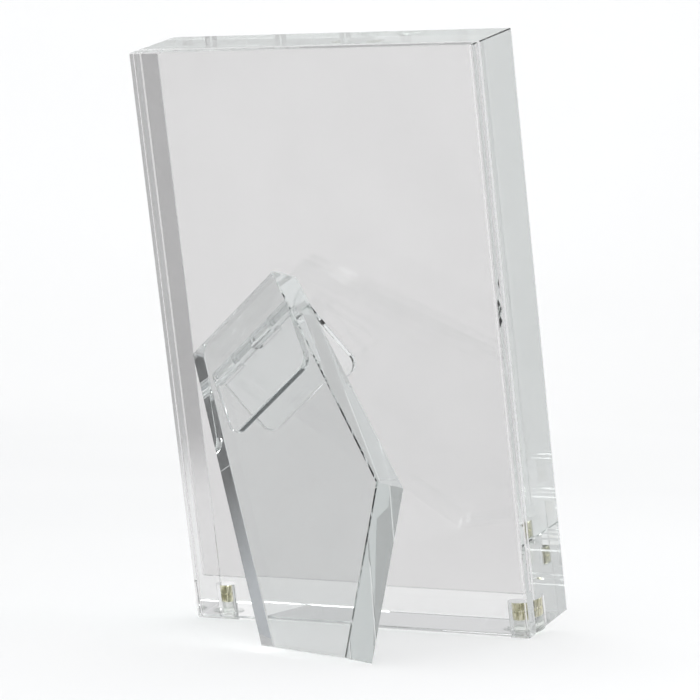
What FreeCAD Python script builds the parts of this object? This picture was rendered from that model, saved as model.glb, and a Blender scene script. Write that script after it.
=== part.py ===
import FreeCAD, Part
import math
import os
import Sketcher

# Acrylic block photo frame with a two-way easel leg, standing in portrait.
#
# A thick clear block and a thin clear back plate are bonded along three edges over thin
# strips, which leaves a slot, open at the top, for the print.  A clear knuckled hinge,
# turned on the back, carries a leg cut square at its foot.  With the leg folded, its two
# foot edges lie flush with the frame's bottom and side, so one leg serves both portrait
# and landscape.
#
# Three frames are used.  Upright frame: X to the right as seen by the viewer of the
# picture, Y from the picture to the back, Z up, with the origin in the middle of the
# back plate's lower rear edge.  Hinge frame: the upright frame turned about Y, centred on
# the pin, with X along the pin and Y away from the plate.  Resting frame: the frame
# leaned back on the open leg, with its footprint centred on the origin.

# ---------------------------------------------------------------- driving dimensions

SIZES = {
    # frame
    "frame_width": 106.0,
    "frame_height": 165.0,
    "block_thick": 20.0,
    "plate_thick": 4.0,
    "edge_break": 0.3,
    # slot for the print, and the strips around it
    "slot_gap": 0.8,
    "side_strip_width": 2.0,
    "bottom_strip_height": 12.0,
    # screw-in feet and the threaded inserts that hold them
    "foot_from_side": 6.3,
    "foot_from_rear": 12.0,
    "foot_radius": 5.0,
    "foot_height": 1.6,
    "foot_round": 0.8,
    "foot_collar_radius": 2.6,
    "foot_collar_height": 2.9,
    "foot_stem_radius": 2.0,
    "foot_stem_height": 7.4,
    "insert_radius": 3.0,
    "insert_height": 5.0,
    "insert_seat_gap": 0.1,
    "insert_top_gap": 0.2,
    "insert_groove_width": 0.8,
    "insert_groove_depth": 0.45,
    "insert_lead": 0.3,
    "insert_fit_clear": 0.03,
    "stem_fit_clear": 0.05,
    # hinge
    "hinge_turn": 40.0,
    "hinge_from_side": 36.0,
    "hinge_from_bottom": 82.5,
    "hinge_width": 34.0,
    "leaf_length": 21.2,
    "leaf_thick": 2.2,
    "leaf_corner": 3.5,
    "leaf_break": 0.2,
    "knuckle_count": 4,
    "knuckle_radius": 2.55,
    "knuckle_gap": 0.4,
    "knuckle_clear": 0.2,
    "notch_clear": 0.35,
    "pin_radius": 1.25,
    "pin_recess": 0.25,
    "pin_break": 0.2,
    "pin_grip_clear": 0.02,
    "pin_run_clear": 0.06,
    # leg
    "leg_open": 34.0,
    "leg_thick": 9.5,
    "portrait_foot": 35.0,
    "landscape_foot": 46.0,
    "leg_top_outer_reach": 17.2,
    "leg_top_inner_reach": 19.6,
    "leg_top_corner": 3.5,
    "leg_top_slant": 3.0,
    "stop_bevel": 0.8,
    "stop_clear": 0.05,
}

doc = FreeCAD.newDocument("block_frame")
sheet = doc.addObject("Spreadsheet::Sheet", "Sizes")
for row, (name, value) in enumerate(SIZES.items(), start=1):
    sheet.set(f"A{row}", name)
    sheet.set(f"B{row}", str(value))
    sheet.setAlias(f"B{row}", name)
doc.recompute()


def size(name):
    """A driving dimension, read from the sheet."""
    return float(getattr(sheet, name))


# Lengths that several pieces share, written once as expressions of the sheet.
AXIS_HEIGHT = "(Sizes.knuckle_radius + Sizes.knuckle_clear)"
BLOCK_FRONT = "(Sizes.plate_thick + Sizes.slot_gap)"
KNUCKLE_LENGTH = ("((Sizes.hinge_width - (Sizes.knuckle_count - 1) * Sizes.knuckle_gap)"
                  " / Sizes.knuckle_count)")
INSERT_FOOT = "(Sizes.foot_collar_height + Sizes.insert_seat_gap)"

# The axis lies midway between the plate and the folded leg, so the open leg's foot is the
# mirror image of the frame's own lower edge, and both lie along the floor at this lean.
turn = math.radians(size("hinge_turn"))
opening = math.radians(size("leg_open"))
lean = math.atan(math.cos(turn) * math.tan(opening / 2))

# ---------------------------------------------------------------- modelling helpers


def new_body(label):
    body = doc.addObject("PartDesign::Body", label)
    body.Label = label
    return body


def new_sketch(body, name, plane, offset="0"):
    """A sketch on one of the body's own origin planes, moved out along its normal."""
    sketch = body.newObject("Sketcher::SketchObject", name)
    support = [f for f in body.Origin.OriginFeatures if f.Role == plane][0]
    sketch.AttachmentSupport = [(support, "")]
    sketch.MapMode = "FlatFace"
    sketch.setExpression("AttachmentOffset.Base.z", offset)
    return sketch


def pin_point(sketch, geometry, end, across, along):
    """Hold one point of the sketch at a place given by two expressions."""
    for kind, expression in (("DistanceX", across), ("DistanceY", along)):
        value = float(sketch.evalExpression(expression))
        index = sketch.addConstraint(
            Sketcher.Constraint(kind, -1, 1, geometry, end, value))
        sketch.setExpression(f"Constraints[{index}]", expression)


def draw_outline(sketch, corners):
    """A closed outline of straight lines through corners given as expressions."""
    places = [FreeCAD.Vector(float(sketch.evalExpression(across)),
                             float(sketch.evalExpression(along)), 0)
              for across, along in corners]
    count = len(places)
    lines = [sketch.addGeometry(Part.LineSegment(places[i], places[(i + 1) % count]))
             for i in range(count)]
    for i in range(count):
        sketch.addConstraint(Sketcher.Constraint(
            "Coincident", lines[i], 2, lines[(i + 1) % count], 1))
        pin_point(sketch, lines[i], 1, *corners[i])


def draw_circle(sketch, across, along, radius):
    centre = FreeCAD.Vector(float(sketch.evalExpression(across)),
                            float(sketch.evalExpression(along)), 0)
    start = float(sketch.evalExpression(radius))
    circle = sketch.addGeometry(
        Part.Circle(centre, FreeCAD.Vector(0, 0, 1), start))
    index = sketch.addConstraint(Sketcher.Constraint("Radius", circle, start))
    sketch.setExpression(f"Constraints[{index}]", radius)
    pin_point(sketch, circle, 3, across, along)


def pad(body, sketch, name, length):
    feature = body.newObject("PartDesign::Pad", name)
    feature.Profile = sketch
    feature.setExpression("Length", length)
    sketch.Visibility = False
    doc.recompute()
    return feature


def pocket(body, sketch, name, length, reverse=False, both_ways=False):
    """Cut a sketch away, and make sure that the cut met the solid."""
    before = body.Shape.Volume
    feature = body.newObject("PartDesign::Pocket", name)
    feature.Profile = sketch
    feature.Reversed = reverse
    feature.Midplane = both_ways
    feature.setExpression("Length", length)
    doc.recompute()
    if not body.Shape.Volume < before:
        raise RuntimeError(f"{name} cuts nothing")
    return feature


def revolve(body, sketch, name):
    feature = body.newObject("PartDesign::Revolution", name)
    feature.Profile = sketch
    feature.ReferenceAxis = (sketch, ["V_Axis"])
    feature.Angle = 360
    doc.recompute()
    return feature


def dress(body, kind, name, wanted, length):
    """A fillet or a chamfer on the edges of the body that wanted() picks."""
    base = body.Tip
    names = [f"Edge{i}" for i, edge in enumerate(base.Shape.Edges, start=1)
             if wanted(edge)]
    if not names:
        raise RuntimeError(f"{name} finds no edge")
    feature = body.newObject(f"PartDesign::{kind}", name)
    feature.Base = (base, names)
    feature.setExpression("Radius" if kind == "Fillet" else "Size", length)
    doc.recompute()
    return feature


def runs_along(edge, axis):
    """True where a straight edge is parallel to an axis of the body."""
    if not isinstance(edge.Curve, Part.Line):
        return False
    return abs(edge.Curve.Direction.dot(axis)) > 1 - 1e-6


X_AXIS = FreeCAD.Vector(1, 0, 0)
Y_AXIS = FreeCAD.Vector(0, 1, 0)

# ---------------------------------------------------------------- block, plate, strips


def make_panel(label, rear, thick):
    """A clear panel of the frame's full width and height, with its edges broken."""
    body = new_body(label)
    outline = new_sketch(body, f"{label}_outline", "XZ_Plane", rear)
    half = "Sizes.frame_width / 2"
    draw_outline(outline, [(f"-{half}", "0"), (half, "0"),
                           (half, "Sizes.frame_height"),
                           (f"-{half}", "Sizes.frame_height")])
    pad(body, outline, f"{label}_sheet", thick)
    dress(body, "Chamfer", f"{label}_edges", lambda edge: True, "Sizes.edge_break")
    return body


def make_front_block():
    """The thick front panel, with a blind hole up each lower corner for an insert."""
    body = make_panel("front_block", BLOCK_FRONT, "Sizes.block_thick")
    holes = new_sketch(body, "foot_holes", "XY_Plane")
    inset = "(Sizes.frame_width / 2 - Sizes.foot_from_side)"
    for side in ("-", ""):
        draw_circle(holes, side + inset, "-Sizes.foot_from_rear",
                    "Sizes.insert_radius + Sizes.insert_fit_clear")
    depth = f"{INSERT_FOOT} + Sizes.insert_height + Sizes.insert_top_gap"
    pocket(body, holes, "foot_hole_pair", depth, reverse=True)
    return body


def make_strip(label, left, right, low, high):
    """A thin strip between the block and the plate."""
    body = new_body(label)
    outline = new_sketch(body, f"{label}_outline", "XZ_Plane", "Sizes.plate_thick")
    draw_outline(outline, [(left, low), (right, low), (right, high), (left, high)])
    pad(body, outline, f"{label}_sheet", "Sizes.slot_gap")
    return body


def make_strips():
    """Three strips, kept inside the broken edges of the panels that they join."""
    side = "(Sizes.frame_width / 2 - Sizes.edge_break)"
    slot = "(Sizes.frame_width / 2 - Sizes.side_strip_width)"
    top = "Sizes.frame_height - Sizes.edge_break"
    floor = "Sizes.bottom_strip_height"
    return [
        make_strip("spacer_left", f"-{side}", f"-{slot}", floor, top),
        make_strip("spacer_right", slot, side, floor, top),
        make_strip("spacer_bottom", f"-{side}", side, "Sizes.edge_break", floor),
    ]


# ---------------------------------------------------------------- feet and inserts


def make_foot(label):
    """A clear turned foot: a disc, a collar in the hole, and a stem in the insert."""
    body = new_body(label)
    profile = new_sketch(body, f"{label}_profile", "XZ_Plane")
    draw_outline(profile, [
        ("0", "-Sizes.foot_height"),
        ("Sizes.foot_radius", "-Sizes.foot_height"),
        ("Sizes.foot_radius", "0"),
        ("Sizes.foot_collar_radius", "0"),
        ("Sizes.foot_collar_radius", "Sizes.foot_collar_height"),
        ("Sizes.foot_stem_radius", "Sizes.foot_collar_height"),
        ("Sizes.foot_stem_radius", "Sizes.foot_stem_height"),
        ("0", "Sizes.foot_stem_height"),
    ])
    revolve(body, profile, f"{label}_turned")
    rim_height = -size("foot_height")

    def is_rim(edge):
        return (isinstance(edge.Curve, Part.Circle)
                and abs(edge.Curve.Center.z - rim_height) < 1e-6)

    dress(body, "Fillet", f"{label}_rim", is_rim, "Sizes.foot_round")
    return body


def make_insert(label):
    """A threaded brass insert: a sleeve with a lead at each end and a groove between."""
    body = new_body(label)
    profile = new_sketch(body, f"{label}_profile", "XZ_Plane")
    top = f"({INSERT_FOOT} + Sizes.insert_height)"
    middle = f"({INSERT_FOOT} + Sizes.insert_height / 2)"
    bore = "Sizes.foot_stem_radius + Sizes.stem_fit_clear"
    waist = "Sizes.insert_radius - Sizes.insert_groove_depth"
    draw_outline(profile, [
        (bore, INSERT_FOOT),
        ("Sizes.insert_radius - Sizes.insert_lead", INSERT_FOOT),
        ("Sizes.insert_radius", f"{INSERT_FOOT} + Sizes.insert_lead"),
        ("Sizes.insert_radius", f"{middle} - Sizes.insert_groove_width / 2"),
        (waist, f"{middle} - Sizes.insert_groove_width / 2"),
        (waist, f"{middle} + Sizes.insert_groove_width / 2"),
        ("Sizes.insert_radius", f"{middle} + Sizes.insert_groove_width / 2"),
        ("Sizes.insert_radius", f"{top} - Sizes.insert_lead"),
        ("Sizes.insert_radius - Sizes.insert_lead", top),
        (bore, top),
    ])
    revolve(body, profile, f"{label}_turned")
    return body


# ---------------------------------------------------------------- hinge


def knuckle_start(index):
    """Where knuckle number index begins along the pin."""
    return (f"(-Sizes.hinge_width / 2 + {index}"
            f" * ({KNUCKLE_LENGTH} + Sizes.knuckle_gap))")


def comb_corners(owned):
    """The leaf's upper edge: it reaches the pin at its own knuckles and is cut back, as
    a notch, wherever the other leaf's knuckle turns."""
    notch = "-(Sizes.knuckle_radius + Sizes.notch_clear)"
    corners = []
    for index in range(int(size("knuckle_count"))):
        if index in owned:
            start = knuckle_start(index)
            end = f"({start} + {KNUCKLE_LENGTH})"
            corners += [(start, notch), (start, "0"), (end, "0"), (end, notch)]
    if 0 in owned:
        corners = corners[1:]
    else:
        corners = [("-Sizes.hinge_width / 2", notch)] + corners
    if int(size("knuckle_count")) - 1 in owned:
        corners = corners[:-1]
    else:
        corners = corners + [("Sizes.hinge_width / 2", notch)]
    return corners


def make_leaf(label, owned, slab_start, bore_clear):
    """One moulded leaf: a slab with a comb along its upper edge, its knuckles, the bore
    for the pin, and rounded lower corners."""
    body = new_body(label)
    slab = new_sketch(body, f"{label}_outline", "XZ_Plane", slab_start)
    half = "Sizes.hinge_width / 2"
    draw_outline(slab, comb_corners(owned) + [(half, "-Sizes.leaf_length"),
                                              (f"-{half}", "-Sizes.leaf_length")])
    pad(body, slab, f"{label}_slab", "Sizes.leaf_thick")
    low = -size("leaf_length")
    dress(body, "Fillet", f"{label}_corners",
          lambda edge: runs_along(edge, Y_AXIS) and abs(edge.CenterOfMass.z - low) < 1e-6,
          "Sizes.leaf_corner")
    dress(body, "Chamfer", f"{label}_edges",
          lambda edge: runs_along(edge, X_AXIS) and abs(edge.CenterOfMass.z - low) < 1e-6,
          "Sizes.leaf_break")
    for index in owned:
        ring = new_sketch(body, f"{label}_ring_{index}", "YZ_Plane",
                          knuckle_start(index))
        draw_circle(ring, "0", "0", "Sizes.knuckle_radius")
        pad(body, ring, f"{label}_knuckle_{index}", KNUCKLE_LENGTH)
    bore = new_sketch(body, f"{label}_bore", "YZ_Plane")
    draw_circle(bore, "0", "0", f"Sizes.pin_radius + Sizes.{bore_clear}")
    pocket(body, bore, f"{label}_pin_bore", "2 * Sizes.hinge_width", both_ways=True)
    return body


def make_pin():
    """The clear rod through the knuckles, a little shorter than the barrel."""
    body = new_body("hinge_pin")
    end = new_sketch(body, "pin_end", "YZ_Plane",
                     "Sizes.pin_recess - Sizes.hinge_width / 2")
    draw_circle(end, "0", "0", "Sizes.pin_radius")
    pad(body, end, "pin_rod", "Sizes.hinge_width - 2 * Sizes.pin_recess")
    dress(body, "Chamfer", "pin_ends",
          lambda edge: isinstance(edge.Curve, Part.Circle), "Sizes.pin_break")
    return body


# ---------------------------------------------------------------- easel leg


def in_hinge_frame(across, up):
    """Turn a place on the frame's back, measured from the pin's middle, into the hinge
    frame's own two directions."""
    cosine = "cos(Sizes.hinge_turn * 1 deg)"
    sine = "sin(Sizes.hinge_turn * 1 deg)"
    return (f"({across}) * {cosine} - ({up}) * {sine}",
            f"({across}) * {sine} + ({up}) * {cosine}")


def make_leg():
    """The leg: a clear plate cut to the frame's corner.  Its portrait foot lies flush
    with the frame's bottom and its landscape foot flush with the frame's side."""
    body = new_body("easel_leg")
    corner_side = "(Sizes.hinge_from_side - Sizes.frame_width)"
    corner_low = "-Sizes.hinge_from_bottom"
    stop_cosine = "cos(Sizes.leg_open * 1 deg)"
    stop_sine = "sin(Sizes.leg_open * 1 deg)"
    # height on the leg's inner face where it meets the plate when the leg is open
    stop = (f"((({AXIS_HEIGHT} - Sizes.stop_clear) + {AXIS_HEIGHT} * {stop_cosine})"
            f" / {stop_sine})")
    ridge = f"({stop} + Sizes.stop_bevel * {stop_cosine} / {stop_sine})"

    outline = new_sketch(body, "leg_outline", "XZ_Plane",
                         f"-({AXIS_HEIGHT} + Sizes.leg_thick)")
    draw_outline(outline, [
        in_hinge_frame(f"{corner_side} + Sizes.portrait_foot", corner_low),
        ("Sizes.leg_top_outer_reach", ridge),
        ("-Sizes.leg_top_inner_reach", ridge),
        in_hinge_frame(corner_side, f"{corner_low} + Sizes.landscape_foot"),
        in_hinge_frame(corner_side, corner_low),
    ])
    pad(body, outline, "leg_plate", "Sizes.leg_thick")

    top = float(body.evalExpression(ridge))
    dress(body, "Fillet", "leg_top_corners",
          lambda edge: runs_along(edge, Y_AXIS) and abs(edge.CenterOfMass.z - top) < 1e-6,
          "Sizes.leg_top_corner")
    dress(body, "Chamfer", "leg_edges", lambda edge: not runs_along(edge, Y_AXIS),
          "Sizes.edge_break")

    # the top end: a narrow bevel that lands flat on the plate, and a slant behind it
    inner = AXIS_HEIGHT
    outer = f"({AXIS_HEIGHT} + Sizes.leg_thick)"
    end = new_sketch(body, "leg_end", "YZ_Plane")
    draw_outline(end, [
        (f"{inner} - Sizes.leg_thick * {stop_sine}",
         f"{stop} - Sizes.leg_thick * {stop_cosine}"),
        (f"{inner} + Sizes.stop_bevel", ridge),
        (f"{outer} + Sizes.leg_thick", f"{ridge} - 2 * Sizes.leg_top_slant"),
        (f"{outer} + Sizes.leg_thick", f"{ridge} + Sizes.leg_thick"),
        (f"{inner} - Sizes.leg_thick * {stop_sine}", f"{ridge} + Sizes.leg_thick"),
    ])
    pocket(body, end, "leg_end_cut", "2 * Sizes.frame_width", both_ways=True)
    return body


# ---------------------------------------------------------------- build the pieces

frame_pieces = [make_front_block(), make_panel("back_plate", "0", "Sizes.plate_thick")]
frame_pieces += make_strips()

feet = {}
for side_name, side_sign in (("left", -1), ("right", 1)):
    feet[side_sign] = [make_foot(f"foot_{side_name}"), make_insert(f"insert_{side_name}")]

count = int(size("knuckle_count"))
fixed_leaf = make_leaf("hinge_fixed_leaf", list(range(0, count, 2)),
                       f"{AXIS_HEIGHT} - Sizes.leaf_thick", "pin_grip_clear")
moving_leaf = make_leaf("hinge_moving_leaf", list(range(1, count, 2)),
                        f"-{AXIS_HEIGHT}", "pin_run_clear")
hinge_pin = make_pin()
easel_leg = make_leg()

# ---------------------------------------------------------------- put them in place

axis_height = size("knuckle_radius") + size("knuckle_clear")
hinge_across = size("frame_width") / 2 - size("hinge_from_side")

# the broken lower edge lets the frame down by a hair when it leans
leaned = FreeCAD.Placement(
    FreeCAD.Vector(0, 0, -size("edge_break") * math.sin(lean)),
    FreeCAD.Rotation(X_AXIS, -math.degrees(lean)))
at_hinge = leaned * FreeCAD.Placement(
    FreeCAD.Vector(hinge_across, axis_height, size("hinge_from_bottom")),
    FreeCAD.Rotation(Y_AXIS, size("hinge_turn")))
opened = at_hinge * FreeCAD.Placement(
    FreeCAD.Vector(), FreeCAD.Rotation(X_AXIS, size("leg_open")))

places = {body: leaned for body in frame_pieces}
for side_sign, pieces in feet.items():
    across = side_sign * (size("frame_width") / 2 - size("foot_from_side"))
    spot = FreeCAD.Vector(across, -size("foot_from_rear"), 0)
    for body in pieces:
        places[body] = leaned * FreeCAD.Placement(spot, FreeCAD.Rotation())
places[fixed_leaf] = at_hinge
places[hinge_pin] = at_hinge
places[moving_leaf] = opened
places[easel_leg] = opened

box = FreeCAD.BoundBox()
for body, place in places.items():
    body.Placement = place
    box.add(body.Shape.BoundBox)
centring = FreeCAD.Placement(FreeCAD.Vector(-box.Center.x, -box.Center.y, -box.ZMin),
                             FreeCAD.Rotation())
for body, place in places.items():
    body.Placement = centring * place
doc.recompute()

# ---------------------------------------------------------------- check and write

for item in doc.Objects:
    if "Invalid" in item.State or "Error" in item.State:
        raise RuntimeError(f"{item.Label} failed: {item.State}")
for body in places:
    if body.Shape.isNull() or not body.Shape.isValid() or len(body.Shape.Solids) != 1:
        raise RuntimeError(f"{body.Label} has no single sound solid")

pin_middle = (centring * at_hinge).Base
pin_direction = (centring * at_hinge).Rotation.multVec(-X_AXIS)
print("lean, degrees:", round(math.degrees(lean), 4))
print("hinge axis through, mm:", [round(v, 4) for v in pin_middle])
print("hinge axis, closing:", [round(v, 6) for v in pin_direction])
print("shift to the centre, mm:", [round(v, 4) for v in centring.Base])
print("extent, mm:", round(box.XLength, 3), round(box.YLength, 3), round(box.ZLength, 3))

os.makedirs("parts", exist_ok=True)
for body in places:
    body.Shape.exportStep(f"parts/{body.Label}.step")
    print(body.Label, round(body.Shape.Volume, 1), "mm3")
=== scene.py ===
import math

import bmesh
import bpy
from mathutils import Matrix, Vector


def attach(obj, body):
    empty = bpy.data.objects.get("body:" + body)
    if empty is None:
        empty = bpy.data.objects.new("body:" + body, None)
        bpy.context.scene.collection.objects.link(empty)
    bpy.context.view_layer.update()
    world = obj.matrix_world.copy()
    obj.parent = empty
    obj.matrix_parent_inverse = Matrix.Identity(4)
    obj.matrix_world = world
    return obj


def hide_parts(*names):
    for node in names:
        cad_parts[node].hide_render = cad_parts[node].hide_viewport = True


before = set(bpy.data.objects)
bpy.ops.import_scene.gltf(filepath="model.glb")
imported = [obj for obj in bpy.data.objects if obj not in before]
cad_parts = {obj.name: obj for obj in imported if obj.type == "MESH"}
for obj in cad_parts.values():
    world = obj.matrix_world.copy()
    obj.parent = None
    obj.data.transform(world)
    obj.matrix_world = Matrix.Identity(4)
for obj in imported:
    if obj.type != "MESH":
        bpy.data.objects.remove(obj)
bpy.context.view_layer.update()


# --- The case: front block, three strips and back plate -------------------------------
# Cast acrylic sheet, sawn, with its faces and edges polished and its corners broken.
# The strips are bonded between block and plate with solvent, which leaves no surface
# between them: there the sheets let sight straight through, and only their rims show.

LEAN = math.radians(13.1813)
FOOTPRINT_SHIFT = Vector((0, 0.0258241, 0.0000684))
CASE_WIDTH = 0.106
CASE_HEIGHT = 0.165
PLATE_THICK = 0.004
SLOT_GAP = 0.0008
SIDE_STRIP = 0.002
BOTTOM_STRIP = 0.012
EDGE_BREAK = 0.0003
BOND_REACH = 0.00008
LET_IN = 0.00002
WELD = 0.0000001
ON_FACE = 0.000005
CREASE = math.radians(30)
SQUARE_ON = 0.9999
AXIS_Y, AXIS_Z = 1, 2
UPRIGHT = Matrix.Rotation(LEAN, 4, "X") @ Matrix.Translation(FOOTPRINT_SHIFT)

ACRYLIC_IOR = 1.49
INNER_TINT = (0.892, 0.909, 0.903, 1)
INNER_DENSITY = 15.0
SMEAR_SCALE = 34.0
WAVE_SCALE = 48.0
WIPE_TURN = (0.3, 0.2, 0.5)
WIPE_STRETCH = (260, 260, 14)
WIPE_SHARE = 0.06
RIPPLE_DEPTH = 0.0004
HAZE_DIM = 0.97
POLISHED = 0.003
SHEET_TINT = (0.869, 0.861, 0.862)
SHEET_SHADE = (0.96, 0.965, 0.965)


def finish_node(tree, kind, inputs=None, **settings):
    """Add one node to a finish. Its inputs take a value or another node's output."""
    made = tree.nodes.new(kind)
    for name, value in settings.items():
        setattr(made, name, value)
    for socket, value in (inputs or {}).items():
        if isinstance(value, bpy.types.NodeSocket):
            tree.links.new(value, made.inputs[socket])
        else:
            made.inputs[socket].default_value = value
    return made


def reckon(tree, operation, *values):
    """One step of arithmetic on numbers."""
    return finish_node(tree, "ShaderNodeMath", dict(enumerate(values)), operation=operation).outputs[0]


def reckon_vector(tree, operation, *values):
    """One step of arithmetic on places, which gives a place, a length or a product."""
    made = finish_node(tree, "ShaderNodeVectorMath", dict(enumerate(values)), operation=operation)
    return made.outputs["Value" if operation in ("LENGTH", "DOT_PRODUCT") else "Vector"]


def respan(tree, value, source, result, **settings):
    """Carry a value from one span to another. A span is its low and its high end."""
    ends = {"From Min": source[0], "From Max": source[1], "To Min": result[0], "To Max": result[1]}
    return finish_node(tree, "ShaderNodeMapRange", {"Value": value, **ends}, **settings).outputs[0]


def noise(tree, place, scale, detail, **more):
    """The strength of a cloudy pattern."""
    inputs = {"Vector": place, "Scale": scale, "Detail": detail, **more}
    return finish_node(tree, "ShaderNodeTexNoise", inputs).outputs["Fac"]


def object_place(tree):
    """Places on the object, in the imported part's own directions."""
    return finish_node(tree, "ShaderNodeTexCoord").outputs["Object"]


def measured_in(tree, own_frame):
    """Places on the object, measured in a piece's own directions."""
    turned = {
        "Vector": object_place(tree),
        "Location": own_frame.translation,
        "Rotation": own_frame.to_euler(),
    }
    return finish_node(tree, "ShaderNodeMapping", turned).outputs["Vector"]


def inside_joint(tree, place, centre, half):
    """1 within a bonded joint's box, 0 outside."""
    away = reckon_vector(tree, "ABSOLUTE", reckon_vector(tree, "SUBTRACT", place, centre))
    past = reckon_vector(tree, "SUBTRACT", away, half)
    x, y, z = finish_node(tree, "ShaderNodeSeparateXYZ", {0: past}).outputs
    most = reckon(tree, "MAXIMUM", reckon(tree, "MAXIMUM", x, y), z)
    return reckon(tree, "LESS_THAN", most, 0.0)


def clear_plastic(name, tint, cast_shade, smudge=POLISHED, ripple=0.0):
    """A clear plastic with faint smudges and wipe marks. Lamps shine through it."""
    made = bpy.data.materials.new(name)
    made.use_nodes = True
    tree = made.node_tree
    tree.nodes.clear()
    place = object_place(tree)

    smear = noise(tree, place, SMEAR_SCALE, 5.0, Roughness=0.62)
    rough = respan(tree, smear, (0.5, 0.78), (0.0, smudge))
    along_wipes = {"Vector": place, "Rotation": WIPE_TURN, "Scale": WIPE_STRETCH}
    wiped = finish_node(tree, "ShaderNodeMapping", along_wipes).outputs[0]
    marks = noise(tree, wiped, 1.0, 3.0)
    wave = noise(tree, place, WAVE_SCALE, 1.0)
    relief = reckon(tree, "MULTIPLY_ADD", marks, WIPE_SHARE, wave)
    raised = {"Strength": ripple, "Distance": RIPPLE_DEPTH, "Height": relief}
    bump = finish_node(tree, "ShaderNodeBump", raised)

    haze = respan(tree, smear, (0.35, 0.8), (0.0, 1.0))
    hazed = tuple(HAZE_DIM * part for part in tint)
    between = {"Factor": haze, "A": (*tint, 1), "B": (*hazed, 1)}
    colour = finish_node(tree, "ShaderNodeMix", between, data_type="RGBA")
    body = finish_node(
        tree, "ShaderNodeBsdfPrincipled",
        {
            "Base Color": colour.outputs[2], "Roughness": rough, "Normal": bump.outputs[0],
            "IOR": ACRYLIC_IOR, "Transmission Weight": 1.0,
        },
    )
    shade = finish_node(tree, "ShaderNodeBsdfTransparent", {"Color": (*cast_shade, 1)})
    shadow = finish_node(tree, "ShaderNodeLightPath").outputs["Is Shadow Ray"]
    seen = finish_node(tree, "ShaderNodeMixShader", {0: shadow, 1: body.outputs[0], 2: shade.outputs[0]})
    deep = finish_node(
        tree, "ShaderNodeVolumeAbsorption", {"Color": INNER_TINT, "Density": INNER_DENSITY}
    )
    finish_node(tree, "ShaderNodeOutputMaterial", {"Surface": seen.outputs[0], "Volume": deep.outputs[0]})
    return made


def bond(material, *joints):
    """Let sight straight through a sheet where it is bonded to its neighbours."""
    tree = material.node_tree
    end = next(n for n in tree.nodes if n.type == "OUTPUT_MATERIAL")
    surface = end.inputs["Surface"].links[0].from_socket
    mask = joints[0](tree)
    for joint in joints[1:]:
        mask = reckon(tree, "MAXIMUM", mask, joint(tree))
    through = finish_node(tree, "ShaderNodeBsdfTransparent", {"Color": (1, 1, 1, 1)})
    joined = finish_node(tree, "ShaderNodeMixShader", {0: mask, 1: surface, 2: through.outputs[0]})
    tree.links.new(joined.outputs[0], end.inputs["Surface"])


def dress(node, material):
    """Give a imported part's object its finish."""
    piece = bpy.data.objects[node]
    piece.data.materials.clear()
    piece.data.materials.append(material)


def let_in(node, name, body, material, faces):
    """Copy a bonded part and let its bonded faces a hair into what they are bonded to."""
    shape = bmesh.new()
    shape.from_mesh(bpy.data.objects[node].data)
    bmesh.ops.remove_doubles(shape, verts=shape.verts, dist=WELD)
    for own_frame, axis, level, deeper in faces:
        back = own_frame.inverted()
        for corner in shape.verts:
            here = own_frame @ corner.co
            if abs(here[axis] - level) < ON_FACE:
                here[axis] += deeper
                corner.co = back @ here
    mesh = bpy.data.meshes.new(name)
    shape.to_mesh(mesh)
    shape.free()
    # Marking creases sets every face smooth, so the flat faces are marked after it.
    mesh.set_sharp_from_angle(angle=CREASE)
    for face in mesh.polygons:
        turned = faces[0][0].to_3x3() @ face.normal
        face.use_smooth = max(abs(part) for part in turned) < SQUARE_ON
    mesh.materials.append(material)
    piece = bpy.data.objects.new(name, mesh)
    bpy.context.scene.collection.objects.link(piece)
    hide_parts(node)
    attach(piece, body)


def strip_bonds(tree):
    """Where the three strips touch the block, the plate and one another."""
    place = measured_in(tree, UPRIGHT)
    middle = -(PLATE_THICK + SLOT_GAP / 2)
    half_depth = SLOT_GAP / 2 + BOND_REACH
    rim = EDGE_BREAK + LET_IN
    within = inside_joint(
        tree, place, (0, middle, CASE_HEIGHT / 2),
        (CASE_WIDTH / 2 - rim, half_depth, CASE_HEIGHT / 2 - rim),
    )
    slot_foot = BOTTOM_STRIP - LET_IN
    slot = inside_joint(
        tree, place, (0, middle, slot_foot + CASE_HEIGHT / 2),
        (CASE_WIDTH / 2 - SIDE_STRIP + LET_IN, half_depth, CASE_HEIGHT / 2),
    )
    return reckon(tree, "GREATER_THAN", within, slot)


sheet = clear_plastic("cast_acrylic", SHEET_TINT, SHEET_SHADE)
bond(sheet, strip_bonds)
dress("front_block", sheet)
strip_faces = [
    (UPRIGHT, AXIS_Y, -PLATE_THICK, LET_IN),
    (UPRIGHT, AXIS_Y, -PLATE_THICK - SLOT_GAP, -LET_IN),
]
let_in("spacer_bottom", "bonded_strip_bottom", "frame", sheet, strip_faces)
for side in ("left", "right"):
    foot = [(UPRIGHT, AXIS_Z, BOTTOM_STRIP, -LET_IN)]
    let_in("spacer_" + side, "bonded_strip_" + side, "frame", sheet, strip_faces + foot)


# --- Hinge: two leaves with knuckles, and the rod through them -------------------------
# Moulded clear plastic. The fixed leaf is bonded to the plate and the moving leaf to the
# leg, both turned 40 degrees from upright, so that the leg reaches a lower corner.

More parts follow.
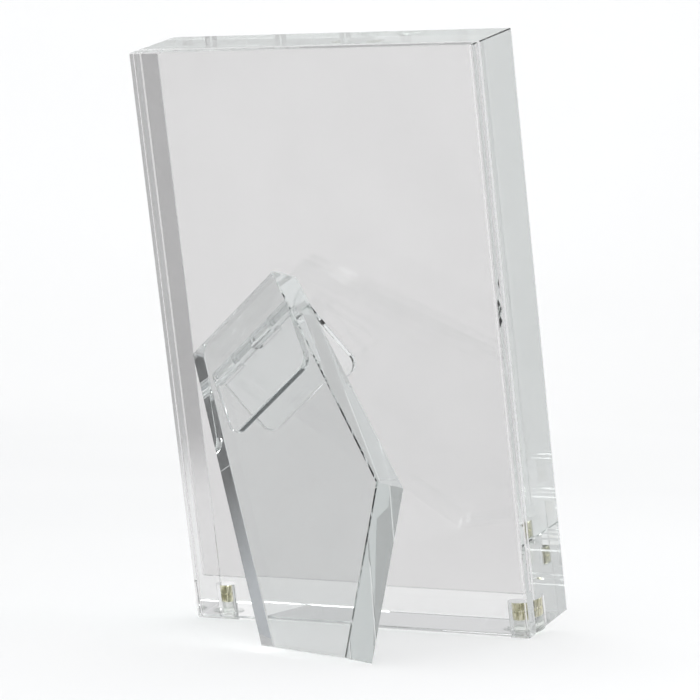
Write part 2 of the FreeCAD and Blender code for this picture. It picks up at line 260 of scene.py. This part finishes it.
HINGE_TURN = math.radians(40)
LEG_OPEN = math.radians(34)
KNUCKLE_CLEAR = 0.0002
KNUCKLE_RADIUS = 0.00255
NOTCH_CLEAR = 0.00035
AXIS_HEIGHT = KNUCKLE_RADIUS + KNUCKLE_CLEAR
HINGE_MIDDLE = Vector((0.017, AXIS_HEIGHT, 0.0825))
HINGE_WIDTH = 0.034
LEAF_LENGTH = 0.0212
LEAF_THICK = 0.0022
LEAF_CORNER = 0.0035
LEAF_BREAK = 0.0002
END_BREAK = 0.0004
KNUCKLE_GAP = 0.0004
KNUCKLE_COUNT = 4
KNUCKLE_LENGTH = (HINGE_WIDTH - (KNUCKLE_COUNT - 1) * KNUCKLE_GAP) / KNUCKLE_COUNT
ROOT_OVERLAP = 0.0003
HAIR = 0.000001
CLOSED_HINGE = Matrix.Rotation(-HINGE_TURN, 4, "Y") @ Matrix.Translation(-HINGE_MIDDLE) @ UPRIGHT
OPENED_HINGE = Matrix.Rotation(-LEG_OPEN, 4, "X") @ CLOSED_HINGE
HINGE_TINT = (0.93, 0.94, 0.94)
HINGE_SHADE = (0.92, 0.93, 0.93)
# Painted shade: the dark colour put on the moving leaf's lower end face.
END_SHADOW = (0.008, 0.01, 0.012, 1)


def without_corner(tree, mask, place, sign):
    """Take the leaf's rounded lower corner off its bonded area."""
    corner = Vector((sign * (HINGE_WIDTH / 2 - LEAF_CORNER), 0, -(LEAF_LENGTH - LEAF_CORNER)))
    outward = reckon_vector(tree, "SUBTRACT", place, corner)
    outward = reckon_vector(tree, "MULTIPLY", outward, (sign, 0, -1))
    outward = reckon_vector(tree, "MAXIMUM", outward, (0, 0, 0))
    x, _, z = finish_node(tree, "ShaderNodeSeparateXYZ", {0: outward}).outputs
    within = reckon(tree, "LESS_THAN", reckon_vector(tree, "LENGTH", outward), LEAF_CORNER)
    beside = reckon(tree, "LESS_THAN", reckon(tree, "MINIMUM", x, z), HAIR)
    return reckon(tree, "MULTIPLY", mask, reckon(tree, "MAXIMUM", within, beside))


def leaf_bond(tree, hinge_frame, face, owned):
    """Where a leaf lies on its sheet: below the comb, and up to the pin at its knuckles."""
    place = measured_in(tree, hinge_frame)
    notch = KNUCKLE_RADIUS + NOTCH_CLEAR
    middle = (LEAF_LENGTH + notch) / 2
    half = (HINGE_WIDTH / 2, BOND_REACH, LEAF_LENGTH - LEAF_BREAK - middle)
    mask = inside_joint(tree, place, (0, face, -middle), half)
    for sign in (-1, 1):
        mask = without_corner(tree, mask, place, sign)
    for index in owned:
        start = -HINGE_WIDTH / 2 + index * (KNUCKLE_LENGTH + KNUCKLE_GAP)
        centre = (start + KNUCKLE_LENGTH / 2, face, -notch / 2)
        half = (KNUCKLE_LENGTH / 2, BOND_REACH, notch / 2 + ROOT_OVERLAP)
        mask = reckon(tree, "MAXIMUM", mask, inside_joint(tree, place, centre, half))
    return mask


def fixed_leaf_bond(tree):
    """The fixed leaf's area on the plate. It owns the first and third knuckles."""
    return leaf_bond(tree, CLOSED_HINGE, -AXIS_HEIGHT, (0, 2))


def moving_leaf_bond(tree):
    """The moving leaf's area on the leg. It owns the second and fourth knuckles."""
    return leaf_bond(tree, OPENED_HINGE, AXIS_HEIGHT, (1, 3))


def painted_end_shade(material):
    """Paint shade on the flat of the moving leaf's lower end: a dark colour stands in for the shadow seen
    there.
    """
    tree = material.node_tree
    middle = (0, AXIS_HEIGHT - LEAF_THICK / 2, -LEAF_LENGTH)
    half = (HINGE_WIDTH / 2, LEAF_THICK / 2 - END_BREAK, BOND_REACH)
    end = inside_joint(tree, measured_in(tree, OPENED_HINGE), middle, half)
    body = next(n for n in tree.nodes if n.type == "BSDF_PRINCIPLED")
    plain = body.inputs["Base Color"].links[0].from_socket
    tone = finish_node(tree, "ShaderNodeMix", {"Factor": end, "A": plain, "B": END_SHADOW}, data_type="RGBA")
    tree.links.new(tone.outputs[2], body.inputs["Base Color"])


plate_sheet = clear_plastic("cast_acrylic_plate", SHEET_TINT, SHEET_SHADE)
bond(plate_sheet, strip_bonds, fixed_leaf_bond)
dress("back_plate", plate_sheet)

fixed_plastic = clear_plastic("moulded_plastic_fixed_leaf", HINGE_TINT, HINGE_SHADE)
bond(fixed_plastic, fixed_leaf_bond)
let_in(
    "hinge_fixed_leaf", "bonded_leaf_fixed", "frame", fixed_plastic,
    [(CLOSED_HINGE, AXIS_Y, -AXIS_HEIGHT, -LET_IN)],
)
moving_plastic = clear_plastic("moulded_plastic_moving_leaf", HINGE_TINT, HINGE_SHADE)
painted_end_shade(moving_plastic)
bond(moving_plastic, moving_leaf_bond)
let_in(
    "hinge_moving_leaf", "bonded_leaf_moving", "easel", moving_plastic,
    [(OPENED_HINGE, AXIS_Y, AXIS_HEIGHT, LET_IN)],
)
dress("hinge_pin", clear_plastic("extruded_pin_plastic", HINGE_TINT, HINGE_SHADE))


# --- Easel leg --------------------------------------------------------------------------
# A clear sheet, sawn to an outline that is square at the foot and slanted at the head.
# The portrait foot and the landscape foot are its two lower edges.

LEG_TINT = (0.828, 0.84, 0.838)

leg_sheet = clear_plastic("cast_acrylic_leg", LEG_TINT, SHEET_SHADE)
bond(leg_sheet, moving_leaf_bond)
dress("easel_leg", leg_sheet)


# --- Feet and their inserts --------------------------------------------------------------
# Each foot is a turned clear plastic disc on a stem, screwed into a knurled brass insert
# that is pressed into the block's underside.

FOOT_FROM_SIDE = 0.0063
FOOT_FROM_REAR = 0.012
FOOT_TINT = (0.9, 0.93, 0.9)
FOOT_SHADE = (0.85, 0.88, 0.85)
FOOT_SMUDGE = 0.08
FOOT_RIPPLE = 0.02
INSERT_BOTTOM = 0.003
INSERT_LENGTH = 0.005
INSERT_BORE = 0.00206
INSERT_CORE = 0.00276
INSERT_GROOVE = 0.0025
INSERT_LEAD = 0.00015
HALF_GROOVE = 0.0004
GROOVE_SLOPE = 0.0001
TURNING_SIDES = 56
KNURL_RIBS = 28
KNURL_HEIGHT = 0.0002
KNURL_BAND = 0.0019
BANDS_APART = 0.0026
RIB_RISE = 0.3
RIB_WIDTH = 0.56
RIB_FLATNESS = 0.7
RIB_SIDES = 3
# Painted shade and painted highlights on the brass: dark and bright streaks along the ribs.
PAINTED_STREAK_SCALE = (620, 620, 45)
BRASS_PAINTED_SHADE = (0.34, 0.33, 0.13, 1)
BRASS_PAINTED_HIGHLIGHT = (1.0, 0.98, 0.78, 1)

foot_plastic = clear_plastic("turned_foot_plastic", FOOT_TINT, FOOT_SHADE, FOOT_SMUDGE, FOOT_RIPPLE)
for node in ("foot_left", "foot_right"):
    dress(node, foot_plastic)


def knurled_brass():
    """Bright brass, streaked along the ribs with painted shade in the grooves and painted highlights on the
    ribs.
    """
    made = bpy.data.materials.new("knurled_brass")
    made.use_nodes = True
    tree = made.node_tree
    shader = tree.nodes["Principled BSDF"]
    streaked = {"Vector": object_place(tree), "Rotation": (LEAN, 0, 0), "Scale": PAINTED_STREAK_SCALE}
    along_ribs = finish_node(tree, "ShaderNodeMapping", streaked).outputs[0]
    tone = noise(tree, along_ribs, 1.0, 2.0)
    ramp = finish_node(tree, "ShaderNodeValToRGB", {"Fac": tone})
    for element, position, colour in zip(ramp.color_ramp.elements, (0.4, 0.56), (BRASS_PAINTED_SHADE, BRASS_PAINTED_HIGHLIGHT)):
        element.position = position
        element.color = colour
    tree.links.new(ramp.outputs["Color"], shader.inputs["Base Color"])
    tree.links.new(respan(tree, tone, (0.3, 0.7), (0.12, 0.3)), shader.inputs["Roughness"])
    shader.inputs["Metallic"].default_value = 1.0
    return made


brass = knurled_brass()
knurl_sizes = {
    "Ribs": KNURL_RIBS,
    "Core Radius": INSERT_CORE,
    "Rib Height": KNURL_HEIGHT,
    "Band Length": KNURL_BAND,
    "Bands Apart": BANDS_APART,
}

knurling = bpy.data.node_groups.new("insert_knurling", "GeometryNodeTree")
knurling.is_modifier = True
knurling.interface.new_socket("Geometry", in_out="INPUT", socket_type="NodeSocketGeometry")
knurling.interface.new_socket("Geometry", in_out="OUTPUT", socket_type="NodeSocketGeometry")
sockets = {}
for name in knurl_sizes:
    kind = "NodeSocketInt" if name == "Ribs" else "NodeSocketFloat"
    sockets[name] = knurling.interface.new_socket(name, in_out="INPUT", socket_type=kind)
given = finish_node(knurling, "NodeGroupInput").outputs

# Two bands of points round the core, one above the other, each with a point for every rib.
number = finish_node(knurling, "GeometryNodeInputIndex").outputs[0]
doubled = reckon(knurling, "MULTIPLY", given["Ribs"], 2.0)
spots = finish_node(knurling, "GeometryNodePoints", {"Count": doubled})
step_angle = reckon(knurling, "DIVIDE", math.tau, given["Ribs"])
angle = reckon(knurling, "MULTIPLY", number, step_angle)
upper = reckon(knurling, "LESS_THAN", number, given["Ribs"])
height = reckon(knurling, "MULTIPLY", reckon(knurling, "SUBTRACT", upper, 0.5), given["Bands Apart"])
radius = reckon(knurling, "MULTIPLY_ADD", given["Rib Height"], RIB_RISE, given["Core Radius"])
across = reckon(knurling, "MULTIPLY", reckon(knurling, "COSINE", angle), radius)
along = reckon(knurling, "MULTIPLY", reckon(knurling, "SINE", angle), radius)
spot = finish_node(knurling, "ShaderNodeCombineXYZ", {0: across, 1: along, 2: height}).outputs[0]
spots = finish_node(knurling, "GeometryNodeSetPosition", {"Geometry": spots.outputs[0], "Position": spot})

# A three-sided wedge, flattened, stands on each point and faces outwards.
rib_span = reckon(knurling, "MULTIPLY", given["Core Radius"], step_angle)
wedge_radius = reckon(knurling, "MULTIPLY", rib_span, RIB_WIDTH)
wedge = finish_node(
    knurling, "GeometryNodeMeshCylinder",
    {"Vertices": RIB_SIDES, "Radius": wedge_radius, "Depth": given["Band Length"]},
)
flatness = reckon(knurling, "DIVIDE", given["Rib Height"], wedge_radius)
flatness = reckon(knurling, "MULTIPLY", flatness, RIB_FLATNESS)
flattened = finish_node(knurling, "ShaderNodeCombineXYZ", {0: flatness, 1: 1.0, 2: 1.0}).outputs[0]
wedge = finish_node(
    knurling, "GeometryNodeTransform", {"Geometry": wedge.outputs["Mesh"], "Scale": flattened}
)
facing_out = finish_node(knurling, "ShaderNodeCombineXYZ", {2: angle}).outputs[0]
ribs = finish_node(
    knurling, "GeometryNodeInstanceOnPoints",
    {"Points": spots.outputs[0], "Instance": wedge.outputs[0], "Rotation": facing_out},
)
turned = finish_node(knurling, "GeometryNodeJoinGeometry", {0: given["Geometry"]})
knurling.links.new(ribs.outputs[0], turned.inputs[0])
solid = finish_node(knurling, "GeometryNodeRealizeInstances", {"Geometry": turned.outputs[0]})
solid = finish_node(knurling, "GeometryNodeSetMaterial", {"Geometry": solid.outputs[0], "Material": brass})
finish_node(knurling, "NodeGroupOutput", {0: solid.outputs[0]})


def ring(shape, radius, height, sides):
    """A level ring of corners round the upright axis."""
    turns = [math.tau * k / sides for k in range(sides)]
    return [shape.verts.new((radius * math.cos(turn), radius * math.sin(turn), height)) for turn in turns]


half_length = INSERT_LENGTH / 2
insert_profile = [
    (INSERT_BORE, -half_length),
    (INSERT_CORE - INSERT_LEAD, -half_length),
    (INSERT_CORE, -half_length + INSERT_LEAD),
    (INSERT_CORE, -HALF_GROOVE),
    (INSERT_GROOVE, -HALF_GROOVE + GROOVE_SLOPE),
    (INSERT_GROOVE, HALF_GROOVE - GROOVE_SLOPE),
    (INSERT_CORE, HALF_GROOVE),
    (INSERT_CORE, half_length - INSERT_LEAD),
    (INSERT_CORE - INSERT_LEAD, half_length),
    (INSERT_BORE, half_length),
]
for side, sign in (("left", -1), ("right", 1)):
    turning = bmesh.new()
    rings = [ring(turning, radius, height, TURNING_SIDES) for radius, height in insert_profile]
    for one, other in zip(rings, rings[1:] + rings[:1]):
        for k in range(TURNING_SIDES):
            after = (k + 1) % TURNING_SIDES
            turning.faces.new((one[k], one[after], other[after], other[k]))
    bmesh.ops.recalc_face_normals(turning, faces=turning.faces)
    blank = bpy.data.meshes.new("insert_blank")
    turning.to_mesh(blank)
    turning.free()
    insert = bpy.data.objects.new("knurled_insert_" + side, blank)
    bpy.context.scene.collection.objects.link(insert)
    knurls = insert.modifiers.new("knurling", "NODES")
    knurls.node_group = knurling
    for name, value in knurl_sizes.items():
        knurls[sockets[name].identifier] = value
    settled = insert.evaluated_get(bpy.context.evaluated_depsgraph_get())
    finished = bpy.data.meshes.new_from_object(settled)
    insert.modifiers.remove(knurls)
    insert.data = finished
    seat = Vector((sign * (CASE_WIDTH / 2 - FOOT_FROM_SIDE), -FOOT_FROM_REAR, INSERT_BOTTOM + half_length))
    leaned = Matrix.Translation(-FOOTPRINT_SHIFT) @ Matrix.Rotation(-LEAN, 4, "X")
    finished.transform(leaned @ Matrix.Translation(seat))
    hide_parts("insert_" + side)
    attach(insert, "frame")


# --- Studio: floor with a round cove, soft lights, a card and the camera ------------------
# A plain pale floor that curves up into a wall all round, lit softly from above. One side of
# the wall is darker, with shade painted into the paper where the light would fall off, and a
# card stands out of the camera's view, pale below and dark above. The clear parts mirror both.

COVE_FLAT = 0.9
COVE_BEND = 1.3
COVE_WALL = 0.1
COVE_STEPS = 40
COVE_SIDES = 128
PAPER_TONES = (0.81, 0.83)
PAPER_ROUGHNESS = 0.9
WALL_PAINTED_SHADE = 0.3
PAINTED_SHADE_TOWARDS = (-0.53, -0.848, 0)
SKY_COLOUR = (0.98, 0.99, 1.0, 1)
SKY_STRENGTH = 0.82
CARD_TONE = 0.8
CARD_DARK = 0.03
CARD_FADE = (0.67, 0.71)
CARD_COOL = (0.93, 0.98, 1.03)
CARD_ROUGHNESS = 0.95

rim = [(0.3, 0.0), (0.6, 0.0), (COVE_FLAT, 0.0)]
stride = COVE_BEND / COVE_STEPS
for step in range(1, COVE_STEPS + 1):
    share = step / COVE_STEPS
    slope = math.radians(90) * share * share * (3 - 2 * share)
    out, up = rim[-1]
    rim.append((out + stride * math.cos(slope), up + stride * math.sin(slope)))
rim.append((rim[-1][0], rim[-1][1] + COVE_WALL))
shell = bmesh.new()
rows = [ring(shell, out, up, COVE_SIDES) for out, up in rim]
shell.faces.new(rows[0])
for low, high in zip(rows, rows[1:]):
    for k in range(COVE_SIDES):
        after = (k + 1) % COVE_SIDES
        shell.faces.new((low[k], high[k], high[after], low[after]))
cove_mesh = bpy.data.meshes.new("studio_cove")
shell.to_mesh(cove_mesh)
shell.free()
for face in cove_mesh.polygons:
    face.use_smooth = True
cove = bpy.data.objects.new("studio_cove", cove_mesh)
bpy.context.scene.collection.objects.link(cove)

paper = bpy.data.materials.new("cove_paper")
paper.use_nodes = True
tree = paper.node_tree
place = object_place(tree)
grain = noise(tree, place, 3.0, 2.0)
level = reckon_vector(tree, "MULTIPLY", place, (1, 1, 0))
reach = reckon_vector(tree, "LENGTH", level)
# Painted shade: the paper of the outer floor and the wall is darker towards one side, standing in for light
# falling off along the wall.
aim = reckon_vector(tree, "DOT_PRODUCT", reckon_vector(tree, "NORMALIZE", level), PAINTED_SHADE_TOWARDS)
beside = respan(tree, aim, (0.78, 0.97), (0.0, WALL_PAINTED_SHADE), interpolation_type="SMOOTHSTEP")
beside = respan(tree, reach, (0.4, 0.95), (0.0, beside), interpolation_type="SMOOTHSTEP")
tone = reckon(tree, "SUBTRACT", respan(tree, grain, (0.3, 0.7), PAPER_TONES), beside)
grey = finish_node(tree, "ShaderNodeCombineColor", {0: tone, 1: tone, 2: tone})
tree.links.new(grey.outputs[0], tree.nodes["Principled BSDF"].inputs["Base Color"])
tree.nodes["Principled BSDF"].inputs["Roughness"].default_value = PAPER_ROUGHNESS
cove_mesh.materials.append(paper)

world = bpy.data.worlds.new("soft_studio")
world.use_nodes = True
bpy.context.scene.world = world
world.node_tree.nodes["Background"].inputs["Color"].default_value = SKY_COLOUR
world.node_tree.nodes["Background"].inputs["Strength"].default_value = SKY_STRENGTH


def softbox(name, place, aim, wide, high, watts):
    """A rectangular soft light, turned to its aim."""
    lamp = bpy.data.lights.new(name, "AREA")
    lamp.shape = "RECTANGLE"
    lamp.size = wide
    lamp.size_y = high
    lamp.energy = watts
    stand = bpy.data.objects.new(name, lamp)
    stand.location = place
    stand.rotation_euler = (Vector(aim) - Vector(place)).to_track_quat("-Z", "Y").to_euler()
    bpy.context.scene.collection.objects.link(stand)


softbox("high_softbox", (-0.75, 0.15, 1.45), (0.05, -0.05, 0.05), 0.95, 0.95, 14)
softbox("wall_softbox", (0.5, -0.92, 1.1), (0.8, -1.48, 0.3), 0.9, 0.5, 2.6)

card_corners = [
    (-0.793, -0.62, 0.558),
    (-0.488, -0.88, 0.558),
    (-0.394, -0.711, 0.813),
    (-0.641, -0.501, 0.813),
]
card_mesh = bpy.data.meshes.new("leg_card")
card_mesh.from_pydata(card_corners, [], [range(4)])
card = bpy.data.objects.new("leg_card", card_mesh)
bpy.context.scene.collection.objects.link(card)
felt = bpy.data.materials.new("leg_card_felt")
felt.use_nodes = True
tree = felt.node_tree
place = object_place(tree)
fibre = noise(tree, place, 80.0, 2.0)
height = finish_node(tree, "ShaderNodeSeparateXYZ", {0: place}).outputs[2]
fade = respan(tree, height, CARD_FADE, (CARD_TONE, CARD_DARK))
tone = reckon(tree, "MULTIPLY_ADD", fibre, 0.03, fade)
cool = reckon_vector(tree, "MULTIPLY", tone, CARD_COOL)
tree.links.new(cool, tree.nodes["Principled BSDF"].inputs["Base Color"])
tree.nodes["Principled BSDF"].inputs["Roughness"].default_value = CARD_ROUGHNESS
card_mesh.materials.append(felt)

CAMERA_PLACE = Vector((-0.45297, 0.816116, 0.113412))
CAMERA_RIGHT = Vector((-0.87914, -0.47655, 0.00265))
CAMERA_DOWN = Vector((-0.01991, 0.03117, -0.99932))
CAMERA_AHEAD = Vector((0.47614, -0.87859, -0.03689))
LENS_LENGTH = 175.48
SENSOR_WIDTH = 36.0
NEAREST_SEEN = 0.01

lens = bpy.data.cameras.new("camera")
lens.lens = LENS_LENGTH
lens.sensor_width = SENSOR_WIDTH
lens.clip_start = NEAREST_SEEN
camera = bpy.data.objects.new("camera", lens)
facing = Matrix((CAMERA_RIGHT, -CAMERA_DOWN, -CAMERA_AHEAD)).transposed()
camera.matrix_world = Matrix.Translation(CAMERA_PLACE) @ facing.to_4x4()
bpy.context.scene.collection.objects.link(camera)
bpy.context.scene.camera = camera

# Sight crosses many clear faces here, so paths may be long.
bpy.context.scene.view_settings.view_transform = "Standard"
paths = bpy.context.scene.cycles
paths.max_bounces = 40
paths.transmission_bounces = 40
paths.glossy_bounces = 24
paths.transparent_max_bounces = 96
